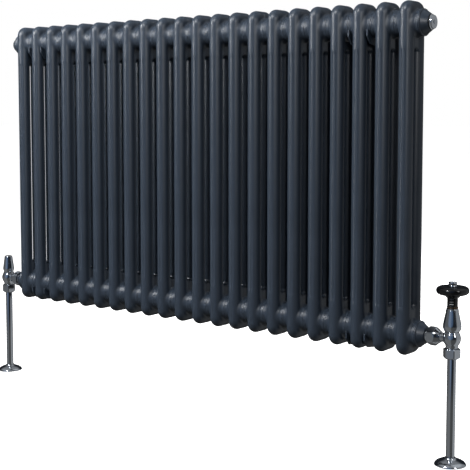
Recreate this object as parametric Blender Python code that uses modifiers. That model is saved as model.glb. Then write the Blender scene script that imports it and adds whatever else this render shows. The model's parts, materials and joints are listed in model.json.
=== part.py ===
"""Two-column steel tube radiator with its valves, pipes and wall brackets.

Metres, +Z up, front towards -Y. The origin is the middle of the wall face of the upper left
bracket, so the wall is the plane y = 0 and section 2 stands at x = 0.
"""

import math

import bmesh
import bpy

# Radiator
SECTIONS = 22
PITCH = 0.045
HEIGHT = 0.600
TUBE_RADIUS = 0.0125
TUBE_WALL = 0.0015
TUBE_OFFSET = 0.01785
HUB_INSET = 0.037
HUB_RADIUS = 0.0232
HUB_BORE = 0.0177
HEAD_DEPTH = 0.0615
HEAD_WIDTH = 0.0258
HEAD_HEIGHT = 0.080
HEAD_CORNER = 0.017
HEAD_ROUNDING = 0.011
HEAD_WALL = 0.0018
TUBE_ENTRY = 0.020
GAP = 0.0003

# Places
BRACKET_SECTIONS = (2, 20)
WALL_TO_AXIS = 0.0707
HUB_OVER_BRACKET = 0.035
AXIS_Y = -WALL_TO_AXIS
TOP_Z = HUB_OVER_BRACKET
BOTTOM_Z = TOP_Z - (HEIGHT - 2 * HUB_INSET)
FLOOR_Z = BOTTOM_Z - 0.215
LEFT_X = (1 - BRACKET_SECTIONS[0]) * PITCH
RIGHT_X = LEFT_X + (SECTIONS - 1) * PITCH
VALVE_REACH = 0.082
ARM_OFFSET = 0.0185
ARM_HALF = 0.0015

# End bushes: the shoulder outside the hub, its cone and its half inch bore
BUSH_END = 0.036
BUSH_BORE = 0.0105
SPIGOT_RADIUS = 0.0162
THREAD_RADIUS = 0.0102

# Valves and pipes, heights measured from the hub axis
PIPE_RADIUS = 0.0075
PIPE_WALL = 0.001
BODY_TOP = 0.0115
NUT_TOP = -0.0170
NUT_BOTTOM = -0.0346
SEAT_Z = -0.004
SENSOR_BOTTOM = 0.034
WHEEL_RADIUS = 0.0275
WHEEL_RIM_RADIUS = 0.0068
WHEEL_RIM_Z = 0.0810

SIDES = 12
SMALL_SIDES = 10
BORE_SIDES = 6
HUB_BORE_SIDES = 8
WHEEL_SIDES = 20


def clear_scene():
    for item in list(bpy.data.objects):
        bpy.data.objects.remove(item, do_unlink=True)


def new_collection(name, hidden=False):
    collection = bpy.data.collections.new(name)
    bpy.context.scene.collection.children.link(collection)
    collection.hide_render = hidden
    return collection


def material(name, colour, roughness, metallic):
    made = bpy.data.materials.new(name)
    made.use_nodes = True
    shader = made.node_tree.nodes["Principled BSDF"]
    shader.inputs["Base Color"].default_value = (*colour, 1)
    shader.inputs["Roughness"].default_value = roughness
    shader.inputs["Metallic"].default_value = metallic
    return made


FINISHES = {
    "paint": ((0.060, 0.070, 0.085), 0.42, 0.0),
    "chrome": ((0.80, 0.81, 0.82), 0.07, 1.0),
    "brass": ((0.70, 0.50, 0.22), 0.30, 1.0),
    "steel": ((0.50, 0.50, 0.52), 0.35, 1.0),
    "black": ((0.015, 0.015, 0.017), 0.25, 0.0),
    "rubber": ((0.02, 0.02, 0.02), 0.70, 0.0),
    "wax_metal": ((0.55, 0.42, 0.25), 0.35, 1.0),
}


def add(name, mesh, finish, location=(0, 0, 0), along_x=False, parent=None):
    """One named sub-part with its own material. along_x turns its axis from +Z to +X."""
    item = bpy.data.objects.new(name, mesh)
    PARTS.objects.link(item)
    mesh.materials.clear()
    mesh.materials.append(material(name, *FINISHES[finish]))
    item.location = location
    if along_x:
        item.rotation_euler = (0, math.pi / 2, 0)
    if parent:
        item.parent = parent
        item.location = [a - b for a, b in zip(location, parent.location)]
    return item


def pivot(name, location, parent=None):
    """An empty on the axis of a moving body."""
    empty = bpy.data.objects.new(name, None)
    PARTS.objects.link(empty)
    empty.empty_display_size = 0.02
    empty.location = location
    if parent:
        empty.parent = parent
        empty.location = [a - b for a, b in zip(location, parent.location)]
    return empty


def baked(item):
    """The evaluated mesh of an object that only serves as a step, which is then removed."""
    bpy.context.view_layer.update()
    graph = bpy.context.evaluated_depsgraph_get()
    mesh = bpy.data.meshes.new_from_object(item.evaluated_get(graph))
    mesh.transform(item.matrix_world)
    bpy.data.objects.remove(item, do_unlink=True)
    return mesh


def welded(mesh):
    work = bmesh.new()
    work.from_mesh(mesh)
    bmesh.ops.remove_doubles(work, verts=work.verts, dist=1e-6)
    bmesh.ops.recalc_face_normals(work, faces=work.faces)
    work.to_mesh(mesh)
    work.free()
    return mesh


def turned(profile, sides=SIDES, ring=False, along_x=False, at=(0, 0, 0)):
    """A mesh turned round its axis from (radius, height) points, outer side from top to bottom.

    ring closes the outline, for a part with a hole through it.
    """
    count = len(profile)
    edges = [(i, i + 1) for i in range(count - 1)]
    if ring:
        edges.append((count - 1, 0))
    outline = bpy.data.meshes.new("outline")
    outline.from_pydata([(r, 0, z) for r, z in profile], edges, [])
    item = bpy.data.objects.new("turned", outline)
    STEPS.objects.link(item)
    screw = item.modifiers.new("turn", "SCREW")
    screw.axis = "Z"
    screw.steps = sides
    screw.render_steps = sides
    screw.use_merge_vertices = True
    screw.merge_threshold = 1e-6
    if along_x:
        item.rotation_euler = (0, math.pi / 2, 0)
    item.location = at
    return baked(item)


def prism(outline, half_thickness, at=(0, 0, 0)):
    """A flat outline of (y, z) points, made half_thickness thick to both sides along X."""
    curve = bpy.data.curves.new("prism", "CURVE")
    curve.dimensions = "2D"
    curve.fill_mode = "BOTH"
    curve.extrude = half_thickness
    spline = curve.splines.new("POLY")
    spline.points.add(len(outline) - 1)
    for point, (y, z) in zip(spline.points, outline):
        point.co = (y, z, 0, 1)
    spline.use_cyclic_u = True
    item = bpy.data.objects.new("prism", curve)
    STEPS.objects.link(item)
    item.rotation_euler = (math.pi / 2, 0, math.pi / 2)
    item.location = at
    return welded(baked(item))


def arc(centre, radius, start, end, steps):
    """Points (y, z) on an arc, with angles in degrees from +Y towards +Z."""
    points = []
    for i in range(steps + 1):
        angle = math.radians(start + (end - start) * i / steps)
        points.append((centre[0] + radius * math.cos(angle), centre[1] + radius * math.sin(angle)))
    return points


def bevelled(mesh, width, segments, degrees=60):
    item = bpy.data.objects.new("bevelled", mesh)
    STEPS.objects.link(item)
    bevel = item.modifiers.new("round", "BEVEL")
    bevel.width = width
    bevel.segments = segments
    bevel.limit_method = "ANGLE"
    bevel.angle_limit = math.radians(degrees)
    return baked(item)


def combined(base, added=(), cut=()):
    """Boolean union of base with the added meshes, less the cut ones."""
    item = bpy.data.objects.new("combined", base)
    STEPS.objects.link(item)
    helpers = []
    for operation, meshes in (("UNION", added), ("DIFFERENCE", cut)):
        for mesh in meshes:
            helper = bpy.data.objects.new("helper", mesh)
            CUTTERS.objects.link(helper)
            helper.hide_render = True
            helper.display_type = "WIRE"
            helpers.append(helper)
            modifier = item.modifiers.new(operation.lower(), "BOOLEAN")
            modifier.operation = operation
            modifier.solver = "EXACT"
            modifier.object = helper
    mesh = baked(item)
    for helper in helpers:
        bpy.data.objects.remove(helper, do_unlink=True)
    return mesh


def shaded(mesh, degrees=35):
    mesh.shade_smooth()
    mesh.set_sharp_from_angle(angle=math.radians(degrees))
    return mesh


def cylinder(radius, bottom, top, sides=SIDES, along_x=False, at=(0, 0, 0)):
    return turned([(0, top), (radius, top), (radius, bottom), (0, bottom)], sides, False, along_x, at)


def tube(outer, inner, bottom, top, sides=SIDES):
    return turned([(outer, top), (outer, bottom), (inner, bottom), (inner, top)], sides, True)


def hex_nut(flats, bore, bottom, top, chamfer=0.001):
    """A hexagon across flats, its corners turned off at both ends, with a round bore."""
    corner = flats / math.sqrt(3)
    reach = 2 * chamfer
    profile = [
        (0, top),
        (corner - reach, top),
        (corner, top - chamfer),
        (corner, bottom + chamfer),
        (corner - reach, bottom),
        (0, bottom),
    ]
    return combined(turned(profile, 6), cut=[cylinder(bore, bottom - 0.01, top + 0.01)])


# Radiator sections


def head_mesh(upward, wall=0.0):
    """The pressed head round one hub, with the web between the tubes. upward is 1 or -1.

    wall draws every face in by that much, for the water space inside the head.
    """
    half = HEAD_DEPTH / 2 - wall
    radius = HEAD_CORNER - wall
    top = HUB_INSET - wall
    bottom = HUB_INSET - HEAD_HEIGHT + wall
    outline = [(-half, bottom), (half, bottom)]
    outline += arc((half - radius, top - radius), radius, 0, 90, 2)
    outline += arc((radius - half, top - radius), radius, 90, 180, 2)
    rounding = HEAD_ROUNDING - (2 - math.sqrt(2)) * wall
    mesh = bevelled(prism(outline, HEAD_WIDTH / 2 - wall), rounding, 1)
    if upward < 0:
        item = bpy.data.objects.new("flipped", mesh)
        STEPS.objects.link(item)
        item.rotation_euler = (math.pi, 0, 0)
        mesh = baked(item)
    return mesh


def hub_mesh(z):
    """The welding hub across a section. A narrow gap parts it from the next section's hub."""
    half = PITCH / 2 - GAP / 2
    return cylinder(HUB_RADIUS, -half, half, along_x=True, at=(0, 0, z))


def moved(mesh, z):
    for vertex in mesh.vertices:
        vertex.co.z += z
    return mesh


def section_mesh():
    """One welded section, hollow from hub to hub. Its origin is the middle of the upper hub."""
    drop = BOTTOM_Z - TOP_Z
    added = [hub_mesh(0), hub_mesh(drop), moved(head_mesh(-1), drop)]
    cut = [head_mesh(1, HEAD_WALL), moved(head_mesh(-1, HEAD_WALL), drop)]
    inner = TUBE_RADIUS - TUBE_WALL
    for side in (-1, 1):
        at = (0, side * TUBE_OFFSET, 0)
        bottom, top = drop + TUBE_ENTRY, -TUBE_ENTRY
        added.append(cylinder(TUBE_RADIUS, bottom, top, SMALL_SIDES, at=at))
        cut.append(cylinder(inner, bottom + HEAD_WALL, top - HEAD_WALL, BORE_SIDES, at=at))
    for z in (0, drop):
        cut.append(cylinder(HUB_BORE, -PITCH, PITCH, HUB_BORE_SIDES, along_x=True, at=(0, 0, z)))
    return shaded(combined(head_mesh(1), added, cut))


def make_sections():
    mesh = section_mesh()
    for number in range(1, SECTIONS + 1):
        name = f"section_{number:02d}"
        item = bpy.data.objects.new(name, mesh)
        PARTS.objects.link(item)
        item.location = (LEFT_X + (number - 1) * PITCH, AXIS_Y, TOP_Z)
    mesh.materials.append(material("section_paint", *FINISHES["paint"]))


# Ends of the two headers


def end_place(side, z):
    """The middle of the end section's hub. side is -1 at the left end and 1 at the right."""
    return (RIGHT_X if side > 0 else LEFT_X, AXIS_Y, z)


def end_part(name, profile, finish, side, z, sides=SIDES, ring=True, parent=None):
    """A part turned about the header axis, its profile measured outwards from the end section."""
    mesh = shaded(turned(profile, sides, ring))
    item = add(name, mesh, finish, end_place(side, z), parent=parent)
    item.rotation_euler = (0, side * math.pi / 2, 0)
    return item


def make_bushes():
    start = PITCH / 2 + GAP / 2
    profile = [
        (BUSH_BORE, BUSH_END),
        (0.0142, BUSH_END),
        (0.0218, 0.0246),
        (0.0223, start),
        (SPIGOT_RADIUS, start),
        (SPIGOT_RADIUS, 0.0100),
        (BUSH_BORE, 0.0100),
    ]
    for side, word in ((-1, "left"), (1, "right")):
        end_part(f"bush_top_{word}", profile, "paint", side, TOP_Z)
        end_part(f"bush_bottom_{word}", profile, "paint", side, BOTTOM_Z)


def make_plugs():
    seal_end = BUSH_END + GAP + 0.0012
    flange = seal_end + GAP
    blank = [
        (0, flange + 0.0015),
        (0.0060, flange + 0.0015),
        (0.0060, flange + 0.0042),
        (0.0110, flange + 0.0042),
        (0.0115, flange + 0.0024),
        (0.0130, flange + 0.0019),
        (0.0130, BUSH_END + GAP),
        (THREAD_RADIUS, BUSH_END + GAP),
        (THREAD_RADIUS, 0.0240),
        (0, 0.0240),
    ]
    end_part("blanking_plug", blank, "chrome", -1, TOP_Z, ring=False)
    seal = [
        (0.0127, seal_end),
        (0.0127, BUSH_END + GAP),
        (0.0108, BUSH_END + GAP),
        (0.0108, seal_end),
    ]
    end_part("air_vent_seal", seal, "rubber", 1, TOP_Z)
    vent = [
        (0.0031, flange + 0.0042),
        (0.0108, flange + 0.0042),
        (0.0115, flange + 0.0036),
        (0.0115, flange + 0.0024),
        (0.0130, flange + 0.0019),
        (0.0130, flange),
        (THREAD_RADIUS, flange),
        (THREAD_RADIUS, 0.0240),
        (0.0031, 0.0240),
    ]
    end_part("air_vent_plug", vent, "chrome", 1, TOP_Z)
    centre = pivot("bleed_screw_axis", end_place(1, TOP_Z))
    screw = [
        (0, flange + 0.0052),
        (0.0020, flange + 0.0052),
        (0.0028, flange + 0.0046),
        (0.0028, 0.0280),
        (0.0010, 0.0260),
        (0, 0.0260),
    ]
    end_part("bleed_screw", screw, "brass", 1, TOP_Z, 10, False, centre)


# Valves: heights are measured from the header axis


def valve_place(side, z=0.0):
    x = RIGHT_X + VALVE_REACH if side > 0 else LEFT_X - VALVE_REACH
    return (x, AXIS_Y, BOTTOM_Z + z)


def valve_part(name, mesh, finish, side, parent=None):
    return add(name, shaded(mesh), finish, valve_place(side), parent=parent)


def body_mesh(side):
    """The angle body: a ball with a socket below, a chamber above and a branch to the radiator."""
    outside = [
        (0, BODY_TOP),
        (0.0118, BODY_TOP),
        (0.0122, 0.0090),
        (0.0144, 0.0050),
        (0.0150, 0.0),
        (0.0144, -0.0050),
        (0.0120, -0.0095),
        (0.0105, -0.0135),
        (0.0105, -0.0160),
        (0.0098, -0.0165),
        (0.0098, -0.0260),
        (0, -0.0260),
    ]
    chamber = [
        (0, BODY_TOP + 0.001),
        (0.0080, BODY_TOP + 0.001),
        (0.0080, SEAT_Z),
        (0.0050, SEAT_Z),
        (0.0050, -0.0140),
        (PIPE_RADIUS + GAP, -0.0140),
        (PIPE_RADIUS + GAP, -0.0270),
        (0, -0.0270),
    ]
    branch = [
        (0, VALVE_REACH - 0.0515),
        (0.0112, VALVE_REACH - 0.0515),
        (0.0112, VALVE_REACH - 0.0545),
        (0.0078, VALVE_REACH - 0.0570),
        (0.0078, 0.0090),
        (0, 0.0090),
    ]
    bore = cylinder(0.0055, 0.0, 0.040)
    meshes = []
    for mesh in (turned(branch), bore):
        item = bpy.data.objects.new("branch", mesh)
        STEPS.objects.link(item)
        item.rotation_euler = (0, -side * math.pi / 2, 0)
        meshes.append(baked(item))
    return combined(turned(outside), [meshes[0]], [turned(chamber), meshes[1]])


def make_coupling(prefix, side):
    """The tailpiece in the bush and the union nut that draws the valve onto it."""
    tail = [
        (0.0075, 0.0500),
        (0.0122, 0.0500),
        (0.0122, BUSH_END + GAP),
        (THREAD_RADIUS, BUSH_END + GAP),
        (THREAD_RADIUS, 0.0240),
        (0.0075, 0.0240),
    ]
    end_part(f"{prefix}_tailpiece", tail, "chrome", side, BOTTOM_Z)
    corner = 0.0166
    outside = [
        (0, 0.0620),
        (0.0098, 0.0620),
        (0.0155, 0.0545),
        (corner, 0.0530),
        (corner, 0.0420),
        (0.0150, 0.0410),
        (0, 0.0410),
    ]
    inside = [
        (0, 0.0630),
        (0.0082, 0.0630),
        (0.0082, 0.0580),
        (0.0126, 0.0550),
        (0.0126, 0.0400),
        (0, 0.0400),
    ]
    mesh = combined(turned(outside, 6), cut=[turned(inside)])
    item = add(f"{prefix}_union_nut", shaded(mesh), "chrome", end_place(side, BOTTOM_Z))
    item.rotation_euler = (0, side * math.pi / 2, 0)


def make_pipe_joint(prefix, side, pipe_name):
    """The compression nut and olive under the body, the pipe, and its collar on the floor."""
    nut = hex_nut(0.0262, PIPE_RADIUS + GAP, NUT_BOTTOM, NUT_TOP, 0.0012)
    recess = [
        (0, NUT_TOP + 0.010),
        (0.0101, NUT_TOP + 0.010),
        (0.0101, -0.0310),
        (PIPE_RADIUS, -0.0330),
        (0, -0.0330),
    ]
    nut = combined(nut, cut=[turned(recess)])
    valve_part(f"{prefix}_compression_nut", nut, "chrome", side)
    olive = [
        (0.0096, -0.0272),
        (0.0098, -0.0285),
        (0.0096, -0.0298),
        (PIPE_RADIUS + GAP, -0.0312),
        (PIPE_RADIUS + GAP, -0.0264),
    ]
    valve_part(f"{prefix}_olive", turned(olive, ring=True), "brass", side)
    floor = FLOOR_Z - BOTTOM_Z
    pipe = tube(PIPE_RADIUS, PIPE_RADIUS - PIPE_WALL, floor, -0.0145)
    valve_part(pipe_name, pipe, "chrome", side)
    word = "right" if side > 0 else "left"
    lift = pivot(f"floor_plate_{word}_axis", valve_place(side, floor))
    bore = PIPE_RADIUS + 0.0004
    plate = [
        (bore, floor + 0.0125),
        (0.0095, floor + 0.0125),
        (0.0105, floor + 0.0100),
        (0.0160, floor + 0.0085),
        (0.0225, floor + 0.0055),
        (0.0265, floor + 0.0015),
        (0.0270, floor),
        (bore, floor),
    ]
    collar = turned(plate, ring=True)
    add(f"floor_plate_{word}", shaded(collar), "chrome", valve_place(side), parent=lift)


def insert_mesh(bore):
    """The gland insert screwed into the chamber, a hexagon with a guide above it."""
    outside = [
        (0, 0.0200),
        (0.0048, 0.0200),
        (0.0050, 0.0165),
        (0.0090, 0.0160),
        (0.0090, BODY_TOP + GAP),
        (0.0076, BODY_TOP + GAP),
        (0.0076, 0.0080),
        (0, 0.0080),
    ]
    return combined(turned(outside, 12), cut=[cylinder(bore, 0.0, 0.030, 10)])


def spring_mesh(radius, wire, bottom, top, turns):
    """A coil spring round the valve axis, its ends cut square by the wire's own caps."""
    per_turn = 9
    count = int(turns * per_turn) + 1
    curve = bpy.data.curves.new("coil", "CURVE")
    curve.dimensions = "3D"
    curve.bevel_depth = wire / 2
    curve.bevel_resolution = 1
    curve.use_fill_caps = True
    spline = curve.splines.new("POLY")
    spline.points.add(count - 1)
    for i, point in enumerate(spline.points):
        angle = 2 * math.pi * i / per_turn
        height = bottom + (top - bottom) * i / (count - 1)
        point.co = (radius * math.cos(angle), radius * math.sin(angle), height, 1)
    item = bpy.data.objects.new("coil", curve)
    STEPS.objects.link(item)
    return welded(baked(item))


def make_thermostatic_valve():
    side = 1
    make_coupling("trv", side)
    make_pipe_joint("trv", side, "supply_pipe")
    valve_part("trv_body", body_mesh(side), "chrome", side)
    valve_part("trv_insert", insert_mesh(0.0019), "brass", side)
    pin_axis = pivot("trv_pin_axis", valve_place(side))
    pin = [
        (0, 0.0360),
        (0.0015, 0.0355),
        (0.0015, 0.0020),
        (0.0065, 0.0018),
        (0.0065, -0.0004),
        (0.0060, -0.0008),
        (0, -0.0008),
    ]
    valve_part("trv_pin", turned(pin, SMALL_SIDES), "steel", side, pin_axis)
    coil = spring_mesh(0.0040, 0.0008, 0.0026, 0.0073, 3)
    valve_part("trv_return_spring", coil, "steel", side)
    shroud = [
        (0.0093, 0.0507),
        (0.0098, 0.0507),
        (0.0108, 0.0460),
        (0.0132, 0.0350),
        (0.0150, 0.0260),
        (0.0155, 0.0215),
        (0.0150, 0.0175),
        (0.0128, BODY_TOP + GAP),
        (0.0106, BODY_TOP + GAP),
        (0.0132, 0.0190),
        (0.0132, 0.0255),
        (0.0109, 0.0380),
        (0.0109, 0.0478),
        (0.0093, 0.0478),
    ]
    valve_part("trv_shroud", turned(shroud, ring=True), "chrome", side)
    neck = [
        (0.0090, 0.0722),
        (0.0090, 0.0475),
        (0.0105, 0.0475),
        (0.0105, 0.0445),
        (0.0070, 0.0445),
        (0.0070, 0.0722),
    ]
    valve_part("trv_scale_neck", turned(neck, ring=True), "black", side)
    rise = pivot("trv_sensor_axis", valve_place(side))
    sensor = [
        (0, 0.0915),
        (0.0030, 0.0915),
        (0.0030, 0.0660),
        (0.0062, 0.0650),
        (0.0062, 0.0380),
        (0.0035, SENSOR_BOTTOM),
        (0.0021, SENSOR_BOTTOM),
        (0.0021, 0.0500),
        (0, 0.0500),
    ]
    valve_part("trv_sensor", turned(sensor, SMALL_SIDES), "wax_metal", side, rise)
    turn = pivot("trv_wheel_axis", valve_place(side), rise)
    rim = arc((WHEEL_RADIUS - WHEEL_RIM_RADIUS, WHEEL_RIM_Z), WHEEL_RIM_RADIUS, 80, -80, 4)
    wheel = [(0.0033, 0.0872), (0.0105, 0.0868)]
    wheel += rim
    wheel += [
        (0.0125, 0.0712),
        (0.0103, 0.0686),
        (0.0094, 0.0686),
        (0.0094, 0.0846),
        (0.0033, 0.0846),
    ]
    item = valve_part("trv_handwheel", turned(wheel, WHEEL_SIDES, True), "black", side)
    item.parent = turn
    item.location = (0, 0, 0)
    finial = [
        (0, 0.0945),
        (0.0050, 0.0945),
        (0.0058, 0.0955),
        (0.0068, 0.0952),
        (0.0073, 0.0940),
        (0.0073, 0.0900),
        (0.0060, 0.0875),
        (0.0033, 0.0875),
        (0.0033, 0.0925),
        (0, 0.0925),
    ]
    item = valve_part("trv_finial", turned(finial, SMALL_SIDES), "chrome", side)
    item.parent = turn
    item.location = (0, 0, 0)


def make_lockshield_valve():
    side = -1
    make_coupling("lockshield", side)
    make_pipe_joint("lockshield", side, "return_pipe")
    valve_part("lockshield_body", body_mesh(side), "chrome", side)
    valve_part("lockshield_gland_nut", insert_mesh(0.0033), "brass", side)
    rise = pivot("lockshield_disc_axis", valve_place(side))
    disc = [
        (0.0020, 0.0018),
        (0.0065, 0.0018),
        (0.0065, -0.0004),
        (0.0060, -0.0008),
        (0.0020, -0.0008),
    ]
    valve_part("lockshield_disc", turned(disc, SMALL_SIDES, True), "rubber", side, rise)
    turn = pivot("lockshield_spindle_axis", valve_place(side), rise)
    spindle = [
        (0, 0.0300),
        (0.0022, 0.0300),
        (0.0026, 0.0290),
        (0.0026, 0.0225),
        (0.0030, 0.0220),
        (0.0030, 0.0050),
        (0.0048, 0.0045),
        (0.0048, 0.0021),
        (0.0017, 0.0021),
        (0.0017, -0.0010),
        (0, -0.0010),
    ]
    item = valve_part("lockshield_spindle", turned(spindle, SMALL_SIDES), "brass", side)
    item.parent = turn
    item.location = (0, 0, 0)
    lift = pivot("lockshield_cap_axis", valve_place(side))
    cap = [
        (0, 0.0500),
        (0.0072, 0.0500),
        (0.0084, 0.0492),
        (0.0090, 0.0475),
        (0.0124, 0.0195),
        (0.0122, 0.0180),
        (0.0108, 0.0135),
        (0.0108, BODY_TOP + GAP),
        (0.0095, BODY_TOP + GAP),
        (0.0105, 0.0190),
        (0.0074, 0.0460),
        (0.0060, 0.0480),
        (0, 0.0480),
    ]
    valve_part("lockshield_cap", turned(cap), "chrome", side, lift)


# Wall brackets


def bracket_mesh():
    """A plate on the wall with two arms, one at each side of a section, hooked under the hubs."""
    hub_y, hub_z = AXIS_Y, HUB_OVER_BRACKET
    hook = HUB_RADIUS + GAP
    outline = [(-0.0005, -0.010), (-0.0005, 0.024)]
    outline += arc((hub_y, hub_z), hook, -28, -158, 8)
    outline += [
        (hub_y - 0.0262, hub_z - 0.0080),
        (hub_y - 0.0262, hub_z - 0.0200),
        (hub_y - 0.0150, hub_z - 0.0330),
    ]
    plate = [(0, -0.012), (0, 0.050), (-0.003, 0.050), (-0.003, -0.012)]
    arms = [prism(outline, ARM_HALF, (side * ARM_OFFSET, 0, 0)) for side in (-1, 1)]
    return combined(prism(plate, ARM_OFFSET + 2 * ARM_HALF), arms)


def make_brackets():
    mesh = shaded(bracket_mesh())
    mesh.materials.append(material("bracket_paint", *FINISHES["paint"]))
    for number, word in zip(BRACKET_SECTIONS, ("left", "right")):
        for z, level in ((TOP_Z, "upper"), (BOTTOM_Z, "lower")):
            item = bpy.data.objects.new(f"wall_bracket_{level}_{word}", mesh)
            PARTS.objects.link(item)
            x = LEFT_X + (number - 1) * PITCH
            item.location = (x, 0, z - HUB_OVER_BRACKET)


clear_scene()
PARTS = new_collection("radiator_with_valve")
CUTTERS = new_collection("cutters", hidden=True)
STEPS = new_collection("steps", hidden=True)
make_sections()
make_bushes()
make_plugs()
make_thermostatic_valve()
make_lockshield_valve()
make_brackets()
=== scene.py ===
"""Looks of the two-column radiator with its valves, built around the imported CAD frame.

The frame is in metres, +Z up, with the front towards -Y. Profiles and other numbers of the
shapes are in millimetres.
"""

import json
import math

import bmesh
import bpy
from mathutils import Matrix, Vector

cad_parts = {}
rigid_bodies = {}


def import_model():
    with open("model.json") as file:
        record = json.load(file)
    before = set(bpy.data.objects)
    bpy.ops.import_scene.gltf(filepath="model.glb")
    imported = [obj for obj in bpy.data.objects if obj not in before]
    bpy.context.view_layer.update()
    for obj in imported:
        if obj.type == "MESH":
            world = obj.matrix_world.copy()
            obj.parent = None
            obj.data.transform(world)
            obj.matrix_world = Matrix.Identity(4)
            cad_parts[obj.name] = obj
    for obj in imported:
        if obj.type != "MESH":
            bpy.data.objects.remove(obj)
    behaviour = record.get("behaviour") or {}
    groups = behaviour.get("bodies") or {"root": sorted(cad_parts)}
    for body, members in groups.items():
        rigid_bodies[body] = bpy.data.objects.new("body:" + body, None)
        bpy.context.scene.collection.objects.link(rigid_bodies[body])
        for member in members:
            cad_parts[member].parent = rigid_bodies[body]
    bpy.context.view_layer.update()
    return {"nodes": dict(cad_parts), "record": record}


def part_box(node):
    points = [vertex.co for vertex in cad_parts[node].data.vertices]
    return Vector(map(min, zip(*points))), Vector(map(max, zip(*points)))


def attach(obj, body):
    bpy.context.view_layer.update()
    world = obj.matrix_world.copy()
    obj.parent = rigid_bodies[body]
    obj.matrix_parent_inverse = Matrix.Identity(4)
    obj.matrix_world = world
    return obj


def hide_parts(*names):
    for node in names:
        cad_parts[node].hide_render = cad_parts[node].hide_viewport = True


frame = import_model()


def middle(node):
    low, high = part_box(node)
    return (low + high) / 2


MM = 0.001
SECTIONS = 22
LEFT_X = middle("section_01").x
RIGHT_X = middle(f"section_{SECTIONS:02d}").x
PITCH = (RIGHT_X - LEFT_X) / (SECTIONS - 1)
AXIS_Y = middle("section_01").y
TOP_Z = middle("bush_top_right").z
BOTTOM_Z = middle("bush_bottom_right").z
FLOOR_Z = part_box("supply_pipe")[0].z
VALVE_X = {1: middle("supply_pipe").x, -1: middle("return_pipe").x}
HUB_DROP = (TOP_Z - BOTTOM_Z) / MM
FLOOR_DROP = (BOTTOM_Z - FLOOR_Z) / MM

ROUND = 72  # sides of a turned piece


# Camera, chosen between several fits to the edges in the photograph

LENS = 81.958
SHIFT_UP = -0.0852
CAMERA_PLACE = (1.7633, -1.6925, -0.1159)
CAMERA_YAW = 37.334
CAMERA_PITCH = -4.372


def make_camera():
    camera = bpy.data.objects.new("camera", bpy.data.cameras.new("camera"))
    bpy.context.scene.collection.objects.link(camera)
    camera.data.sensor_width = 36
    camera.data.lens = LENS
    camera.data.shift_y = SHIFT_UP
    camera.location = CAMERA_PLACE
    yaw, pitch = math.radians(CAMERA_YAW), math.radians(CAMERA_PITCH)
    turn = Matrix.Rotation(yaw, 4, "Z") @ Matrix.Rotation(math.pi / 2 + pitch, 4, "X")
    camera.rotation_euler = turn.to_euler()
    camera.data.clip_start = 0.05
    camera.data.clip_end = 60
    bpy.context.scene.camera = camera


# Materials. Noise is given as its scale and detail.

NOISE_LOW, NOISE_HIGH = 0.3, 0.7  # the part of a noise's range that is used
COLOUR_PATCHES = (14, 4)
ROUGHNESS_PATCHES = (60, 3)
FLOOR_PATCHES = (0.7, 2)
SWELL_DETAIL, SWELL_STRENGTH = 1, 0.6
GRAIN_DETAIL, GRAIN_STRENGTH = 2, 0.5


def new_material(name):
    made = bpy.data.materials.new(name)
    made.use_nodes = True
    tree = made.node_tree
    return made, tree, tree.nodes["Principled BSDF"]


def noise(tree, scale, detail):
    """Noise over object coordinates in metres. A section or bracket counts from its own origin."""
    node = tree.nodes.new("ShaderNodeTexNoise")
    node.inputs["Scale"].default_value = scale
    node.inputs["Detail"].default_value = detail
    where = tree.nodes.new("ShaderNodeTexCoord").outputs["Object"]
    tree.links.new(where, node.inputs["Vector"])
    return node.outputs["Fac"]


def spread(tree, value, low, high):
    """A noise turned into a number from low to high."""
    node = tree.nodes.new("ShaderNodeMapRange")
    node.inputs["From Min"].default_value = NOISE_LOW
    node.inputs["From Max"].default_value = NOISE_HIGH
    node.inputs["To Min"].default_value = low
    node.inputs["To Max"].default_value = high
    tree.links.new(value, node.inputs["Value"])
    return node.outputs["Result"]


def tinted(tree, value, dark, light):
    """A noise turned into a colour from dark to light."""
    ramp = tree.nodes.new("ShaderNodeValToRGB")
    ramp.color_ramp.elements[0].position = NOISE_LOW
    ramp.color_ramp.elements[1].position = NOISE_HIGH
    ramp.color_ramp.elements[0].color = (*dark, 1)
    ramp.color_ramp.elements[1].color = (*light, 1)
    tree.links.new(value, ramp.inputs["Fac"])
    return ramp.outputs["Color"]


def bumped(tree, shader, layers):
    """Chains bumps: (height output, distance in metres, strength)."""
    normal = None
    for height, distance, strength in layers:
        bump = tree.nodes.new("ShaderNodeBump")
        bump.inputs["Distance"].default_value = distance
        bump.inputs["Strength"].default_value = strength
        tree.links.new(height, bump.inputs["Height"])
        if normal:
            tree.links.new(normal, bump.inputs["Normal"])
        normal = bump.outputs["Normal"]
    tree.links.new(normal, shader.inputs["Normal"])


def surface(name, dark, light, rough, metallic=0.0, grain=(900, 0.00002), swell=(90, 0.00004)):
    """Colour and roughness that vary a little, over a fine grain and a slow waviness.

    rough is the lowest and highest roughness. grain and swell are (noise scale, height in metres).
    """
    made, tree, shader = new_material(name)
    shader.inputs["Metallic"].default_value = metallic
    colour = tinted(tree, noise(tree, *COLOUR_PATCHES), dark, light)
    tree.links.new(colour, shader.inputs["Base Color"])
    roughness = spread(tree, noise(tree, *ROUGHNESS_PATCHES), *rough)
    tree.links.new(roughness, shader.inputs["Roughness"])
    slow = (noise(tree, swell[0], SWELL_DETAIL), swell[1], SWELL_STRENGTH)
    fine = (noise(tree, grain[0], GRAIN_DETAIL), grain[1], GRAIN_STRENGTH)
    bumped(tree, shader, [slow, fine])
    return made


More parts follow.
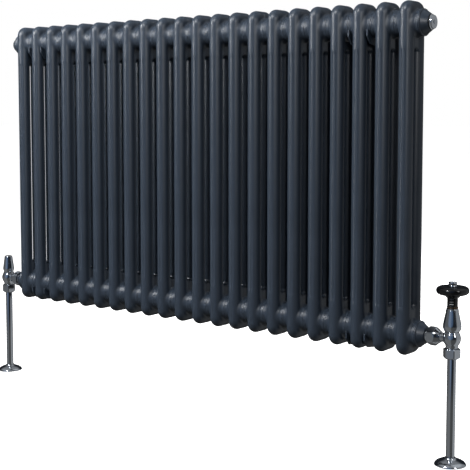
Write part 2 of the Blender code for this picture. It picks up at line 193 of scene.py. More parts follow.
PAINT = surface(
    "satin_powder_coat",
    (0.017, 0.024, 0.035),
    (0.020, 0.028, 0.041),
    (0.34, 0.39),
    grain=(1500, 0.00002),
    swell=(60, 0.00001),
)
PAINT.node_tree.nodes["Principled BSDF"].inputs["IOR"].default_value = 1.5
CHROME = surface("polished_chrome", (0.54, 0.56, 0.59), (0.60, 0.62, 0.65), (0.09, 0.14), 1.0)
BRASS = surface("turned_brass", (0.60, 0.42, 0.16), (0.72, 0.53, 0.24), (0.25, 0.38), 1.0)
STEEL = surface("bright_steel", (0.42, 0.42, 0.43), (0.52, 0.52, 0.53), (0.28, 0.40), 1.0)
BLACK = surface(
    "gloss_black",
    (0.006, 0.006, 0.007),
    (0.010, 0.010, 0.011),
    (0.10, 0.17),
    grain=(600, 0.000003),
    swell=(60, 0.00001),
)
NECK = surface("neck_black", (0.012, 0.013, 0.013), (0.022, 0.024, 0.023), (0.16, 0.24))
RUBBER = surface("seal_rubber", (0.010, 0.010, 0.010), (0.018, 0.018, 0.018), (0.65, 0.80))
ENAMEL = surface("white_enamel", (0.80, 0.81, 0.80), (0.90, 0.91, 0.90), (0.30, 0.40))
BRONZE = surface("bronze_ring", (0.13, 0.085, 0.050), (0.18, 0.115, 0.065), (0.24, 0.34), 1.0)
SLOT_FINISH = {
    "paint": PAINT,
    "chrome": CHROME,
    "brass": BRASS,
    "steel": STEEL,
    "black_plastic": BLACK,
    "rubber": RUBBER,
}


# Mesh helpers

EDGE_RADIUS = 0.35  # of the rounding of a profile's corners
EDGE_STEPS = 2
EDGE_SHARE = 0.42  # the most of a profile's leg that the rounding takes
STRAIGHT = math.radians(12)  # a corner that bends less than this is left alone


def new_piece(name, mesh, finish, body, nodes=(), degrees=40):
    """A piece that rides on a CAD body and stands for the nodes named."""
    mesh.materials.clear()
    mesh.materials.append(finish)
    mesh.shade_smooth()
    mesh.set_sharp_from_angle(angle=math.radians(degrees))
    piece = bpy.data.objects.new(name, mesh)
    bpy.context.scene.collection.objects.link(piece)
    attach(piece, body)
    if nodes:
        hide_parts(*nodes)
    return piece


def mesh_of(name, points, faces):
    """Points in millimetres. The faces are turned outwards."""
    mesh = bpy.data.meshes.new(name)
    mesh.from_pydata([[c * MM for c in point] for point in points], [], faces)
    work = bmesh.new()
    work.from_mesh(mesh)
    bmesh.ops.recalc_face_normals(work, faces=work.faces)
    work.to_mesh(mesh)
    work.free()
    return mesh


def ring_faces(rings, around, closed=False):
    """Faces between rings of around points each. closed joins the last ring to the first."""
    faces = []
    for a in range(rings if closed else rings - 1):
        b = (a + 1) % rings
        for k in range(around):
            n = (k + 1) % around
            faces.append((a * around + k, a * around + n, b * around + n, b * around + k))
    return faces


def eased(profile, closed=False):
    """Rounds the corners of a profile, so that its edges catch the light."""
    count = len(profile)
    made = []
    for i, point in enumerate(profile):
        if not closed and i in (0, count - 1):
            made.append(point)
            continue
        here = Vector(point)
        before = Vector(profile[i - 1]) - here
        after = Vector(profile[(i + 1) % count]) - here
        bend = before.angle(after, math.pi)
        if math.pi - bend < STRAIGHT:
            made.append(point)
            continue
        reach = min(EDGE_RADIUS, EDGE_SHARE * before.length, EDGE_SHARE * after.length)
        start = here + before.normalized() * reach
        end = here + after.normalized() * reach
        for k in range(EDGE_STEPS + 1):
            t = k / EDGE_STEPS
            made.append(tuple(start * (1 - t) ** 2 + here * 2 * t * (1 - t) + end * t * t))
    return made


def lathe(profile, closed=False, sides=ROUND, shape=None):
    """Points and faces of (radius, height) points turned round Z.

    closed joins the profile's ends, for a part with a hole. shape changes a radius by its angle.
    """
    points, faces, rings = [], [], []
    for radius, height in profile:
        if radius < 1e-6:
            rings.append([len(points)])
            points.append((0, 0, height))
            continue
        rings.append(list(range(len(points), len(points) + sides)))
        for k in range(sides):
            angle = 2 * math.pi * k / sides
            r = shape(radius, height, angle) if shape else radius
            points.append((r * math.cos(angle), r * math.sin(angle), height))
    pairs = list(zip(rings, rings[1:]))
    if closed:
        pairs.append((rings[-1], rings[0]))
    for a, b in pairs:
        for k in range(sides):
            n = (k + 1) % sides
            if len(a) == 1:
                faces.append((a[0], b[k], b[n]))
            elif len(b) == 1:
                faces.append((a[k], b[0], a[n]))
            else:
                faces.append((a[k], b[k], b[n], a[n]))
    return points, faces


def hexagon(flats, turn=0.0):
    """A shape for lathe(): the flats of a hexagon cut into the turned outline."""
    half = flats / 2

    def cut(radius, height, angle):
        off = (angle - turn) % (math.pi / 3) - math.pi / 6
        return min(radius, half / math.cos(off))

    return cut


def upright(
    name, profile, finish, body, side, nodes=(), closed=False, sides=ROUND, shape=None
):
    """A turned piece on a valve's vertical axis. Heights count from the header axis."""
    points, faces = lathe(eased(profile, closed), closed, sides, shape)
    mesh = mesh_of(name, points, faces)
    mesh.transform(Matrix.Translation((VALVE_X[side], AXIS_Y, BOTTOM_Z)))
    return new_piece(name, mesh, finish, body, nodes)


def sideways(
    name, profile, finish, body, side, z, nodes=(), closed=False, sides=ROUND, shape=None
):
    """A turned piece on the header axis. Heights count outwards from the end section's middle."""
    points, faces = lathe(eased(profile, closed), closed, sides, shape)
    mesh = mesh_of(name, points, faces)
    mesh.transform(Matrix.Rotation(side * math.pi / 2, 4, "Y"))
    x = RIGHT_X if side > 0 else LEFT_X
    mesh.transform(Matrix.Translation((x, AXIS_Y, z)))
    return new_piece(name, mesh, finish, body, nodes)


def joined(base, others, operation):
    """Exact Boolean of meshes, applied."""
    item = bpy.data.objects.new("base", base)
    bpy.context.scene.collection.objects.link(item)
    helpers = []
    for mesh in others:
        helper = bpy.data.objects.new("helper", mesh)
        bpy.context.scene.collection.objects.link(helper)
        helpers.append(helper)
        modifier = item.modifiers.new("join", "BOOLEAN")
        modifier.operation = operation
        modifier.solver = "EXACT"
        modifier.object = helper
    bpy.context.view_layer.update()
    graph = bpy.context.evaluated_depsgraph_get()
    mesh = bpy.data.meshes.new_from_object(item.evaluated_get(graph))
    for helper in [item, *helpers]:
        bpy.data.objects.remove(helper)
    return mesh


# Radiator sections: an upper and a lower pressed head with a hub through each, and two tubes

HEAD_R = 12.7  # of the bead round the head
TUBE_R = 12.6
TUBE_Y = 17.4  # from the middle of the section to each tube
TUBE_END = -47.0
HEAD_TOP = 37.0
HEAD_BOTTOM = -48.0
CORNER = 6.0  # of the bead's centreline
WEB = 9.3  # half the thickness of the head inside the bead
BLEND = 7.0  # the width over which the web rises inside the bead
SOFT = 2.5  # how near bead and web are when they melt into each other
RIM = 0.8  # half the thickness of the head's edge
HUB_GAP = 0.04  # from a hub's end to the joint with the next section
FLARE_END = 27.6  # where the hub's foot has run out into the head
FLARE_RINGS, FLARE_POWER = 6, 2.6
HEAD_RINGS, HEAD_POWER = 11, 1.9
SIDE_STEPS, CORNER_STEPS, TOP_STEPS, BOTTOM_STEPS = 9, 9, 3, 26
SLOT_CENTRE = -49.0
SLOT_MOUTH = 17.0
SLOT_REACH = 14


def path_distance(y, z):
    """Distance from the centreline of the head's bead, and whether a point is inside it."""
    y = abs(y)
    top = HEAD_TOP - HEAD_R
    corner_y, corner_z = TUBE_Y - CORNER, top - CORNER
    if y > corner_y and z > corner_z:
        away = math.hypot(y - corner_y, z - corner_z) - CORNER
        return abs(away), away < 0
    if z - corner_z > y - corner_y:
        return abs(z - top), z < top
    return abs(y - TUBE_Y), y < TUBE_Y


def head_height(y, z):
    """Half the thickness of the head: a round bead with a flatter web inside it."""
    away, inside = path_distance(y, z)
    bead = math.sqrt(max(HEAD_R**2 - away**2, 0.0)) if away < HEAD_R else 0.0
    if not inside:
        return bead
    share = min(away / BLEND, 1.0)
    web = WEB * share * share * (3 - 2 * share)
    mixed = max(0.0, 1 - abs(bead - web) / SOFT)
    return max(bead, web) + mixed * mixed * SOFT / 4


def outline_points():
    """The head's outline as (y, z), anticlockwise from the lower right corner."""
    side_y = TUBE_Y + HEAD_R
    corner_y, corner_z = TUBE_Y - CORNER, HEAD_TOP - HEAD_R - CORNER
    radius = CORNER + HEAD_R
    rise = corner_z - HEAD_BOTTOM
    right = [(side_y, HEAD_BOTTOM + rise * i / SIDE_STEPS) for i in range(SIDE_STEPS)]
    for i in range(CORNER_STEPS):
        angle = math.pi / 2 * i / CORNER_STEPS
        right.append((corner_y + radius * math.cos(angle), corner_z + radius * math.sin(angle)))
    right += [(corner_y * (1 - i / TOP_STEPS), HEAD_TOP) for i in range(TOP_STEPS)]
    left = [(-y, z) for y, z in reversed(right)]
    across = [-side_y + 2 * side_y * i / BOTTOM_STEPS for i in range(1, BOTTOM_STEPS)]
    return right + [(0.0, HEAD_TOP)] + left + [(y, HEAD_BOTTOM) for y in across]


def hub_rings():
    """(radius, distance from the middle) of the hub from its bore to its neck."""
    end = PITCH / MM / 2 - HUB_GAP
    return [
        (17.7, end),
        (22.5, end),
        (23.1, end - 0.35),
        (23.3, end - 1.0),
        (23.3, end - 2.4),
        (23.1, end - 3.0),
        (22.8, end - 3.6),
        (23.0, end - 4.2),
        (23.1, end - 4.8),
        (23.0, end - 5.3),
        (22.6, end - 6.0),
    ]


def at_radius(radius, y, z):
    """The point at a radius from the header axis, in the direction of (y, z)."""
    length = math.hypot(y, z)
    return radius * y / length, radius * z / length


def head_mesh(upward):
    """A pressed head with the hub through it. upward is 1 or -1."""
    outline = outline_points()
    hub = hub_rings()
    rings = [[(x, *at_radius(radius, y, z)) for y, z in outline] for radius, x in hub]
    neck, neck_x = hub[-1]
    for i in range(1, FLARE_RINGS):
        share = i / FLARE_RINGS
        ring = []
        for y, z in outline:
            py, pz = at_radius(neck + (FLARE_END - neck) * share, y, z)
            base = head_height(py, pz)
            ring.append((base + max(neck_x - base, 0) * (1 - share) ** FLARE_POWER, py, pz))
        rings.append(ring)
    for i in range(HEAD_RINGS + 1):
        share = 1 - (1 - i / HEAD_RINGS) ** HEAD_POWER
        ring = []
        for y, z in outline:
            radius = FLARE_END + (math.hypot(y, z) - FLARE_END) * share
            py, pz = at_radius(radius, y, z)
            ring.append((max(head_height(py, pz), RIM), py, pz))
        rings.append(ring)
    rings += [[(-x, y, z) for x, y, z in ring] for ring in reversed(rings)]
    points = [(x, y, upward * z) for ring in rings for x, y, z in ring]
    return mesh_of("head", points, ring_faces(len(rings), len(outline), closed=True))


def slot_cutter():
    """The rounded end of the slot between the tubes. It follows their sides, 0.1 mm clear."""
    profile = [(0, SLOT_REACH), (SLOT_MOUTH, SLOT_REACH)]
    for u in (11.8, 11, 10, 9, 8, 7, 6, 5, 3, 0):
        profile.append((TUBE_Y - math.sqrt(TUBE_R**2 - u * u) - 0.1, u))
    profile += [(r, -u) for r, u in reversed(profile[:-1])]
    points, faces = lathe(profile, sides=40)
    mesh = mesh_of("slot", points, faces)
    mesh.transform(Matrix.Rotation(math.pi / 2, 4, "Y"))
    return mesh


def section_mesh():
    heads = []
    for upward, z in ((1, 0.0), (-1, -HUB_DROP)):
        cutter = slot_cutter()
        cutter.transform(Matrix.Translation((0, 0, SLOT_CENTRE * upward * MM)))
        head = joined(head_mesh(upward), [cutter], "DIFFERENCE")
        head.transform(Matrix.Translation((0, 0, z * MM)))
        heads.append(head)
    tubes = []
    for side in (-1, 1):
        low = -TUBE_END - HUB_DROP
        ends = [(0, TUBE_END), (TUBE_R, TUBE_END), (TUBE_R, low), (0, low)]
        points, faces = lathe(ends, sides=48)
        tube = mesh_of("tube", points, faces)
        tube.transform(Matrix.Translation((0, side * TUBE_Y * MM, 0)))
        tubes.append(tube)
    return joined(heads[0], [heads[1], *tubes], "UNION")


def make_sections():
    mesh = section_mesh()
    for number in range(1, SECTIONS + 1):
        node = f"section_{number:02d}"
        piece = new_piece(f"{node}_welded", mesh, PAINT, "radiator")
        piece.location = (LEFT_X + (number - 1) * PITCH, AXIS_Y, TOP_Z)
        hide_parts(node)


# Header ends


def make_bushes():
    start = PITCH / MM / 2 + 0.15
    profile = [
        (10.5, 36.0),
        (13.9, 36.0),
        (14.5, 35.3),
        (17.6, 30.6),
        (20.9, 25.8),
        (21.1, 25.2),
        (20.9, 24.9),
        (22.4, 24.6),
        (23.0, 24.1),
        (23.1, start),
        (16.2, start),
        (16.2, 10.0),
        (10.5, 10.0),
    ]
    for side, word in ((-1, "left"), (1, "right")):
        for z, level in ((TOP_Z, "top"), (BOTTOM_Z, "bottom")):
            node = f"bush_{level}_{word}"
            sideways(f"{node}_cone", profile, PAINT, "radiator", side, z, [node], True)


def make_plugs():
    blank = [
        (0, 39.4),
        (5.0, 39.4),
        (6.0, 40.0),
        (6.0, 41.7),
        (6.4, 42.0),
        (10.6, 42.0),
        (11.3, 41.4),
        (11.5, 40.2),
        (13.0, 39.7),
        (13.0, 36.4),
        (10.2, 36.3),
        (10.2, 24.0),
        (0, 24.0),
    ]
    sideways("blanking_plug_cap", blank, CHROME, "radiator", -1, TOP_Z, ["blanking_plug"])
    vent = [
        (3.1, 41.7),
        (4.2, 41.7),
        (4.6, 42.0),
        (10.4, 42.0),
        (11.2, 41.6),
        (11.5, 40.8),
        (11.5, 38.9),
        (12.4, 38.6),
        (12.9, 38.2),
        (12.6, 37.8),
        (10.2, 37.8),
        (10.2, 24.0),
        (3.1, 24.0),
    ]
    node = "air_vent_plug"
    sideways(f"{node}_cap", vent, CHROME, "radiator", 1, TOP_Z, [node], True)
    seal = [(12.8, 37.5), (12.8, 36.3), (10.8, 36.3), (10.8, 37.5)]
    node = "air_vent_seal"
    sideways(f"{node}_ring", seal, RUBBER, "radiator", 1, TOP_Z, [node], True)


def make_bleed_screw():
    key_half, key_foot = 2.2, 41.0

    def square(radius, height, angle):
        off = (angle + math.pi / 4) % (math.pi / 2) - math.pi / 4
        return min(radius, key_half / math.cos(off)) if height > key_foot else radius

    screw = [
        (0, 42.9),
        (2.3, 42.9),
        (2.75, 42.5),
        (2.8, 41.1),
        (2.8, 40.9),
        (2.8, 28.0),
        (1.0, 26.0),
        (0, 26.0),
    ]
    sideways(
        "bleed_screw_square",
        screw,
        CHROME,
        "bleed_screw",
        1,
        TOP_Z,
        ["bleed_screw"],
        sides=40,
        shape=square,
    )


# Valves


def make_coupling(prefix, side):
    """The tailpiece and the union nut between a bush and a valve."""
    tail = [(7.5, 50.0), (12.2, 50.0), (12.2, 36.3), (10.2, 36.3), (10.2, 24.0), (7.5, 24.0)]
    node = f"{prefix}_tailpiece"
    sideways(f"{prefix}_tail", tail, CHROME, "radiator", side, BOTTOM_Z, [node], True)
    nut = [
        (8.2, 62.0),
        (9.3, 62.0),
        (9.8, 61.6),
        (11.2, 59.0),
        (13.2, 56.2),
        (15.0, 54.2),
        (16.0, 53.3),
        (16.4, 52.6),
        (16.6, 51.6),
        (16.6, 44.0),
        (16.6, 43.0),
        (16.2, 42.2),
        (15.6, 41.6),
        (14.2, 41.0),
        (12.6, 41.0),
        (12.6, 55.0),
        (8.2, 58.0),
    ]
    sideways(
        f"{prefix}_union",
        nut,
        CHROME,
        "radiator",
        side,
        BOTTOM_Z,
        [f"{prefix}_union_nut"],
        True,
        shape=hexagon(29.0),
    )


def body_mesh(side):
    """A valve's body: the ball and its foot, joined to the arm that the union nut holds."""
    outside = [
        (0, 11.5),
        (11.2, 11.5),
        (11.8, 11.1),
        (12.2, 10.0),
        (12.4, 9.0),
        (13.5, 7.0),
        (14.4, 4.6),
        (14.9, 2.2),
        (15.0, 0.0),
        (14.9, -2.2),
        (14.4, -4.6),
        (13.4, -7.2),
        (12.2, -9.2),
        (11.2, -10.8),
        (10.7, -12.4),
        (10.5, -14.2),
        (10.5, -15.8),
        (9.8, -16.5),
        (9.8, -26.0),
        (0, -26.0),
    ]
    reach = abs(VALVE_X[side] - (RIGHT_X if side > 0 else LEFT_X)) / MM
    branch = [
        (0, reach - 51.5),
        (10.9, reach - 51.5),
        (11.2, reach - 51.9),
        (11.2, reach - 54.2),
        (10.4, reach - 55.0),
        (8.6, reach - 57.0),
        (7.9, reach - 59.5),
        (7.8, reach - 63.0),
        (8.0, 14.5),
        (8.8, 12.6),
        (8.8, 5.0),
        (0, 5.0),
    ]
    ball = mesh_of("ball", *lathe(eased(outside)))
    arm = mesh_of("arm", *lathe(eased(branch)))
    arm.transform(Matrix.Rotation(-side * math.pi / 2, 4, "Y"))
    mesh = joined(ball, [arm], "UNION")
    mesh.transform(Matrix.Translation((VALVE_X[side], AXIS_Y, BOTTOM_Z)))
    return mesh


def make_pipe_joint(prefix, side, pipe):
    """A valve's body, with its compression nut, its pipe and the plate on the floor."""
    new_piece(f"{prefix}_angle", body_mesh(side), CHROME, "radiator", [f"{prefix}_body"])
    nut = [
        (10.1, -17.0),
        (13.0, -17.0),
        (13.8, -17.3),
        (14.6, -18.0),
        (15.1, -19.0),
        (15.1, -20.0),
        (15.1, -28.5),
        (15.0, -30.0),
        (14.3, -31.4),
        (13.2, -32.4),
        (11.6, -33.6),
        (10.4, -34.4),
        (9.4, -34.6),
        (7.8, -34.6),
        (7.8, -33.0),
        (10.1, -31.0),
    ]
    upright(
        f"{prefix}_compression",
        nut,
        CHROME,
        "radiator",
        side,
        [f"{prefix}_compression_nut"],
        True,
        shape=hexagon(26.2, math.radians(12)),
    )
    tube = [(7.5, -14.5), (7.5, -FLOOR_DROP), (6.5, -FLOOR_DROP), (6.5, -14.5)]
    upright(f"{pipe}_tube", tube, CHROME, "radiator", side, [pipe], True)
    word = "right" if side > 0 else "left"
    floor = -FLOOR_DROP
    plate = [
        (7.9, floor + 12.5),
        (9.3, floor + 12.5),
        (10.0, floor + 11.8),
        (10.6, floor + 10.6),
        (12.4, floor + 9.6),
        (15.2, floor + 8.8),
        (18.6, floor + 7.6),
        (21.6, floor + 6.2),
        (24.0, floor + 4.6),
        (25.8, floor + 2.8),
        (26.8, floor + 1.0),
        (27.0, floor),
        (26.0, floor),
        (24.6, floor + 2.6),
        (20.4, floor + 5.2),
        (14.0, floor + 7.4),
        (8.9, floor + 9.2),
        (7.9, floor + 10.0),
    ]
    node = f"floor_plate_{word}"
    upright(f"{node}_dome", plate, CHROME, node, side, [node], True)


def make_thermostatic_valve():
    side = 1
    make_coupling("trv", side)
    make_pipe_joint("trv", side, "supply_pipe")
    bell = [
        (9.3, 50.7),
        (9.9, 50.7),
        (10.5, 50.2),
        (10.5, 49.4),
        (10.1, 48.8),
        (10.5, 46.5),
        (11.4, 42.5),
        (12.6, 37.5),
        (13.7, 32.5),
        (14.6, 28.0),
        (15.2, 24.5),
        (15.5, 21.5),
        (15.4, 18.8),
        (14.9, 16.4),
        (14.0, 14.2),
        (12.8, 12.4),
        (11.9, 11.8),
        (10.6, 11.8),
        (13.2, 19.0),
        (13.2, 25.5),
        (10.9, 38.0),
        (10.9, 47.8),
        (9.3, 47.8),
    ]
    upright("trv_shroud_bell", bell, CHROME, "radiator", side, ["trv_shroud"], True)
    neck = [
        (9.0, 72.2),
        (9.0, 47.5),
        (10.5, 47.5),
        (10.5, 44.5),
        (7.0, 44.5),
        (7.0, 72.2),
    ]
    node = "trv_scale_neck"
    upright(f"{node}_tube", neck, NECK, "radiator", side, [node], True)
    ring = [(9.0, 53.6), (9.5, 53.6), (9.7, 53.2), (9.7, 52.2), (9.5, 51.8), (9.0, 51.8)]
    upright("trv_scale_ring", ring, BRONZE, "radiator", side, closed=True)
    make_scale_ticks(side)
    make_return_spring(side)
    make_wheel(side)


def make_wheel(side):
    rim, rim_z, rim_r, rim_steps = 20.7, 81.0, 6.8, 16
    wheel = [(3.3, 86.6), (8.0, 86.6), (10.5, 86.9), (13.5, 87.5), (16.5, 87.85)]
    for i in range(rim_steps + 1):
        angle = math.radians(84 - 168 * i / rim_steps)
        wheel.append((rim + rim_r * math.cos(angle), rim_z + rim_r * math.sin(angle)))
    wheel += [
        (19.0, 74.0),
        (16.4, 73.2),
        (14.0, 72.2),
        (12.2, 71.0),
        (11.0, 69.8),
        (10.3, 68.8),
        (9.5, 68.6),
        (9.4, 69.4),
        (9.4, 84.6),
        (3.3, 84.6),
    ]
    node = "trv_handwheel"
    upright(f"{node}_rim", wheel, BLACK, "trv_wheel", side, [node], True, 96)
    finial = [
        (0, 93.2),
        (3.2, 93.2),
        (4.3, 93.8),
        (4.9, 95.0),
        (5.4, 95.5),
        (6.3, 95.5),
        (7.0, 94.9),
        (7.3, 93.6),
        (7.2, 92.0),
        (6.6, 90.8),
        (6.7, 89.6),
        (7.2, 88.6),
        (7.1, 87.9),
        (6.0, 87.5),
        (3.3, 87.4),
        (3.3, 92.5),
        (0, 92.5),
    ]
    upright("trv_finial_crown", finial, CHROME, "trv_wheel", side, ["trv_finial"])


def make_scale_ticks(side):
    """Setting lines inlaid in the neck, facing the room and its right hand side."""
    outer, inner, half, steps = 9.35, 8.8, 0.6, 8
    toward = math.radians(-71)
    for number, height in enumerate((67.0, 62.6, 58.6), 1):
        points = []
        for i in range(steps + 1):
            angle = toward + math.radians(-24 + 42 * i / steps)
            for radius, z in ((outer, half), (outer, -half), (inner, -half), (inner, half)):
                points.append((radius * math.cos(angle), radius * math.sin(angle), height + z))
        faces = ring_faces(steps + 1, 4)
        faces += [(0, 1, 2, 3), tuple(steps * 4 + k for k in range(4))]
        mesh = mesh_of("tick", points, faces)
        mesh.transform(Matrix.Translation((VALVE_X[side], AXIS_Y, BOTTOM_Z)))
        new_piece(f"trv_scale_tick_{number}", mesh, ENAMEL, "radiator")


def make_return_spring(side):
    """The coil over the valve pin. It ends short of the pin's disc, to leave the pin its travel."""
    turns, around, sides = 4, 24, 8
    wire, radius, low, high = 0.4, 4.0, 3.8, 6.9
    points = []
    steps = turns * around
    for i in range(steps + 1):
        angle = 2 * math.pi * i / around
        for k in range(sides):
            turn = 2 * math.pi * k / sides
            r = radius + wire * math.cos(turn)
            z = low + (high - low) * i / steps + wire * math.sin(turn)
            points.append((r * math.cos(angle), r * math.sin(angle), z))
    faces = ring_faces(steps + 1, sides)
    faces += [tuple(range(sides)), tuple(range(steps * sides, steps * sides + sides))]
    mesh = mesh_of("spring", points, faces)
    mesh.transform(Matrix.Translation((VALVE_X[side], AXIS_Y, BOTTOM_Z)))
    node = "trv_return_spring"
    new_piece(f"{node}_coil", mesh, STEEL, "radiator", [node])


def make_lockshield_valve():
    side = -1
    make_coupling("lockshield", side)
    make_pipe_joint("lockshield", side, "return_pipe")
    cap = [
        (0, 50.0),
        (5.6, 49.9),
        (7.2, 49.5),
        (8.3, 48.7),
        (8.9, 47.4),
        (9.2, 45.0),
        (10.8, 34.0),
        (12.4, 22.0),
        (12.6, 19.8),
        (12.2, 18.0),
        (11.4, 15.6),
        (10.9, 13.4),
        (10.8, 11.8),
        (9.5, 11.8),
        (10.5, 19.0),
        (7.4, 46.0),
        (6.0, 48.0),
        (0, 48.0),
    ]
    node = "lockshield_cap"
    upright(f"{node}_shell", cap, CHROME, node, side, [node])


# Wall brackets

PLATE_LOW, PLATE_HIGH, PLATE_THICK = -12.0, 50.0, 3.0
ARM_X, ARM_THICK = 18.5, 3.0  # an arm at each side of the section that the bracket holds
CRADLE_R, CRADLE_STEPS = 23.6, 26


def bracket_mesh():
    """A plate on the wall with two arms that cradle the hub. Heights count from the mount."""
    hub_y, hub_z = AXIS_Y / MM, 35.0
    outline = [(-0.5, -10.0), (-0.5, 24.0)]
    for i in range(CRADLE_STEPS + 1):
        angle = math.radians(-28 - 130 * i / CRADLE_STEPS)
        outline.append((hub_y + CRADLE_R * math.cos(angle), hub_z + CRADLE_R * math.sin(angle)))
    tip = hub_y - 26.2
    outline += [(tip, hub_z - 8.0), (tip, hub_z - 20.0), (hub_y - 15.0, hub_z - 33.0)]
    plate = [(0, PLATE_LOW), (0, PLATE_HIGH), (-PLATE_THICK, PLATE_HIGH), (-PLATE_THICK, PLATE_LOW)]

    def slab(points, centre, half):
        made = [(centre + s * half, y, z) for s in (-1, 1) for y, z in points]
        n = len(points)
        faces = [tuple(range(n)), tuple(range(n, 2 * n))]
        faces += [(k, (k + 1) % n, n + (k + 1) % n, n + k) for k in range(n)]
        return mesh_of("slab", made, faces)

    arms = [slab(outline, s * ARM_X, ARM_THICK / 2) for s in (-1, 1)]
    return joined(slab(plate, 0, ARM_X + ARM_THICK), arms, "UNION")


def make_brackets():
    mesh = bracket_mesh()
    for level in ("upper", "lower"):
        for word in ("left", "right"):
            node = f"wall_bracket_{level}_{word}"
            low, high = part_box(node)
            piece = new_piece(f"{node}_arms", mesh, PAINT, "radiator", degrees=30)
            piece.location = ((low.x + high.x) / 2, 0, low.z - PLATE_LOW * MM)
            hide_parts(node)
            bevel = piece.modifiers.new("edges", "BEVEL")
            bevel.width = 0.4 * MM
            bevel.segments = 2
            bevel.limit_method = "ANGLE"


def finish_kept_nodes():
    """CAD nodes whose own shape stays get the finish of their material slot."""
    for entry in frame["record"]["subparts"]:
        item = frame["nodes"][entry["node"]]
        if not item.hide_render:
            for slot in item.material_slots:
                slot.material = SLOT_FINISH[entry["material_slot"]]


# Studio

FLOOR_GLOW = 1.25
FILL = 0.005


def make_floor():
    """A pale floor that glows a little, so that it reads as white."""
    size = 40.0
    mesh = bpy.data.meshes.new("floor")
    corners = [(-size, -size, 0), (size, -size, 0), (size, size, 0), (-size, size, 0)]
    mesh.from_pydata(corners, [], [(0, 1, 2, 3)])
    floor = bpy.data.objects.new("floor", mesh)
    bpy.context.scene.collection.objects.link(floor)
    floor.location = (0, 0, FLOOR_Z - 0.0002)
    floor.visible_glossy = False
    floor.visible_diffuse = False
    made, tree, shader = new_material("pale_floor")
    shade = tinted(tree, noise(tree, *FLOOR_PATCHES), (0.78, 0.78, 0.78), (0.80, 0.80, 0.80))
    tree.links.new(shade, shader.inputs["Base Color"])
    tree.links.new(shade, shader.inputs["Emission Color"])
    shader.inputs["Emission Strength"].default_value = FLOOR_GLOW
    shader.inputs["Roughness"].default_value = 0.9
    mesh.materials.append(made)


def painted_pieces():
    group = bpy.data.collections.new("painted")
    for item in bpy.context.scene.objects:
        if any(slot.material == PAINT for slot in item.material_slots):
            group.objects.link(item)
    return group


def area(name, place, aim, width, height, power, lit=None, glossy=True):
    """An area light that faces a point. lit is the collection that it lights, if not all."""
    light = bpy.data.objects.new(name, bpy.data.lights.new(name, "AREA"))
    light.data.shape = "RECTANGLE"
    light.data.size = width
    light.data.size_y = height
    light.data.energy = power
    light.location = place
    away = Vector(place) - Vector(aim)
    light.rotation_euler = away.to_track_quat("Z", "Y").to_euler()
    light.visible_camera = False
    light.visible_glossy = glossy
    if lit:
        light.light_linking.receiver_collection = lit
    bpy.context.scene.collection.objects.link(light)


# What glossy surfaces see round the studio: (direction, whether only its compass bearing counts,
# where it starts, where it is full, colour) of the floor, the window in front, the ceiling, the
# front left and the back right. Start and full are cosines of the angle from the direction.
GLOW = [
    ((0.0, 0.0, -1.0), False, 0.04, 0.30, (0.075, 0.075, 0.07)),
    ((0.07, -0.93, 0.36), False, 0.78, 0.92, (0.07, 0.12, 0.21)),
    ((0.0, 0.0, 1.0), False, 0.50, 0.78, (0.26, 0.27, 0.28)),
    ((-0.57, -0.82, 0.0), True, 0.60, 0.80, (0.11, 0.115, 0.12)),
    ((0.81, 0.58, 0.0), True, 0.68, 0.82, (0.30, 0.31, 0.32)),
]
DIM = (0.018, 0.021, 0.026)


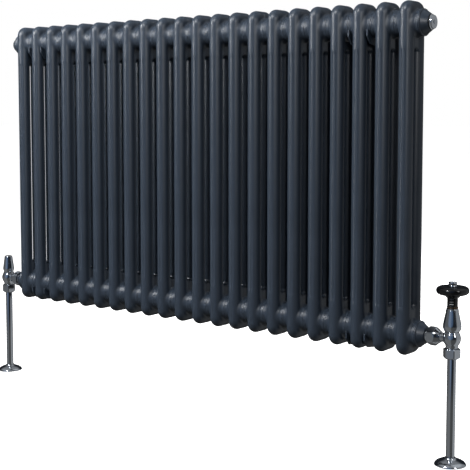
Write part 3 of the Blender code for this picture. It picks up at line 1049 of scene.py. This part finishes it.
def make_world():
    """White to the camera. In reflections a dim room with the glows above."""
    world = bpy.data.worlds.new("studio")
    bpy.context.scene.world = world
    world.use_nodes = True
    tree = world.node_tree
    tree.nodes.clear()
    where = tree.nodes.new("ShaderNodeTexCoord").outputs["Generated"]
    level = tree.nodes.new("ShaderNodeVectorMath")
    level.operation = "MULTIPLY"
    level.inputs[1].default_value = (1, 1, 0)
    tree.links.new(where, level.inputs[0])
    bearing = tree.nodes.new("ShaderNodeVectorMath")
    bearing.operation = "NORMALIZE"
    tree.links.new(level.outputs["Vector"], bearing.inputs[0])
    seen = None
    for direction, flat, start, full, colour in GLOW:
        toward = tree.nodes.new("ShaderNodeVectorMath")
        toward.operation = "DOT_PRODUCT"
        toward.inputs[1].default_value = direction
        tree.links.new(bearing.outputs["Vector"] if flat else where, toward.inputs[0])
        grade = tree.nodes.new("ShaderNodeMapRange")
        grade.interpolation_type = "SMOOTHSTEP"
        grade.inputs["From Min"].default_value = start
        grade.inputs["From Max"].default_value = full
        tree.links.new(toward.outputs["Value"], grade.inputs["Value"])
        lit = tree.nodes.new("ShaderNodeVectorMath")
        lit.operation = "SCALE"
        lit.inputs[0].default_value = colour
        tree.links.new(grade.outputs["Result"], lit.inputs["Scale"])
        total = tree.nodes.new("ShaderNodeVectorMath")
        total.inputs[1].default_value = DIM
        if seen:
            tree.links.new(seen, total.inputs[1])
        tree.links.new(lit.outputs["Vector"], total.inputs[0])
        seen = total.outputs["Vector"]
    room = tree.nodes.new("ShaderNodeBackground")
    tree.links.new(seen, room.inputs["Color"])
    fill = tree.nodes.new("ShaderNodeBackground")
    fill.inputs["Color"].default_value = (0.93, 0.97, 1.0, 1)
    fill.inputs["Strength"].default_value = FILL
    white = tree.nodes.new("ShaderNodeBackground")
    white.inputs["Color"].default_value = (1, 1, 1, 1)
    path = tree.nodes.new("ShaderNodeLightPath")
    shaded = tree.nodes.new("ShaderNodeMixShader")
    tree.links.new(path.outputs["Is Glossy Ray"], shaded.inputs["Fac"])
    tree.links.new(fill.outputs["Background"], shaded.inputs[1])
    tree.links.new(room.outputs["Background"], shaded.inputs[2])
    mix = tree.nodes.new("ShaderNodeMixShader")
    tree.links.new(path.outputs["Is Camera Ray"], mix.inputs["Fac"])
    tree.links.new(shaded.outputs["Shader"], mix.inputs[1])
    tree.links.new(white.outputs["Background"], mix.inputs[2])
    out = tree.nodes.new("ShaderNodeOutputWorld")
    tree.links.new(mix.outputs["Shader"], out.inputs["Surface"])


def make_lights():
    """The strips and the front box light the painted pieces alone: polish would mirror them."""
    painted = painted_pieces()
    area("strip_left", (-0.55, -1.05, 0.47), (0.35, AXIS_Y, 0.0), 0.24, 0.6, 19, painted)
    area("strip_camera", (2.73, -2.22, 0.70), (0.45, AXIS_Y, -0.1), 0.70, 1.0, 21, painted)
    area("box_front", (0.05, -0.9, 1.05), (0.50, AXIS_Y, 0.1), 1.7, 0.40, 44, painted, False)
    area("box_key", (0.25, -2.4, 1.7), (0.6, AXIS_Y, -0.4), 0.5, 0.5, 45)
    area("box_back", (0.45, 1.9, 0.9), (0.45, AXIS_Y, -0.2), 2.0, 0.8, 80, glossy=False)
    area("box_right", (3.2, -0.9, 0.9), (0.9, AXIS_Y, -0.2), 0.5, 1.0, 8)


bpy.context.scene.view_settings.view_transform = "Standard"
make_camera()
make_sections()
make_bushes()
make_plugs()
make_bleed_screw()
make_thermostatic_valve()
make_lockshield_valve()
make_brackets()
finish_kept_nodes()
make_floor()
make_world()
make_lights()
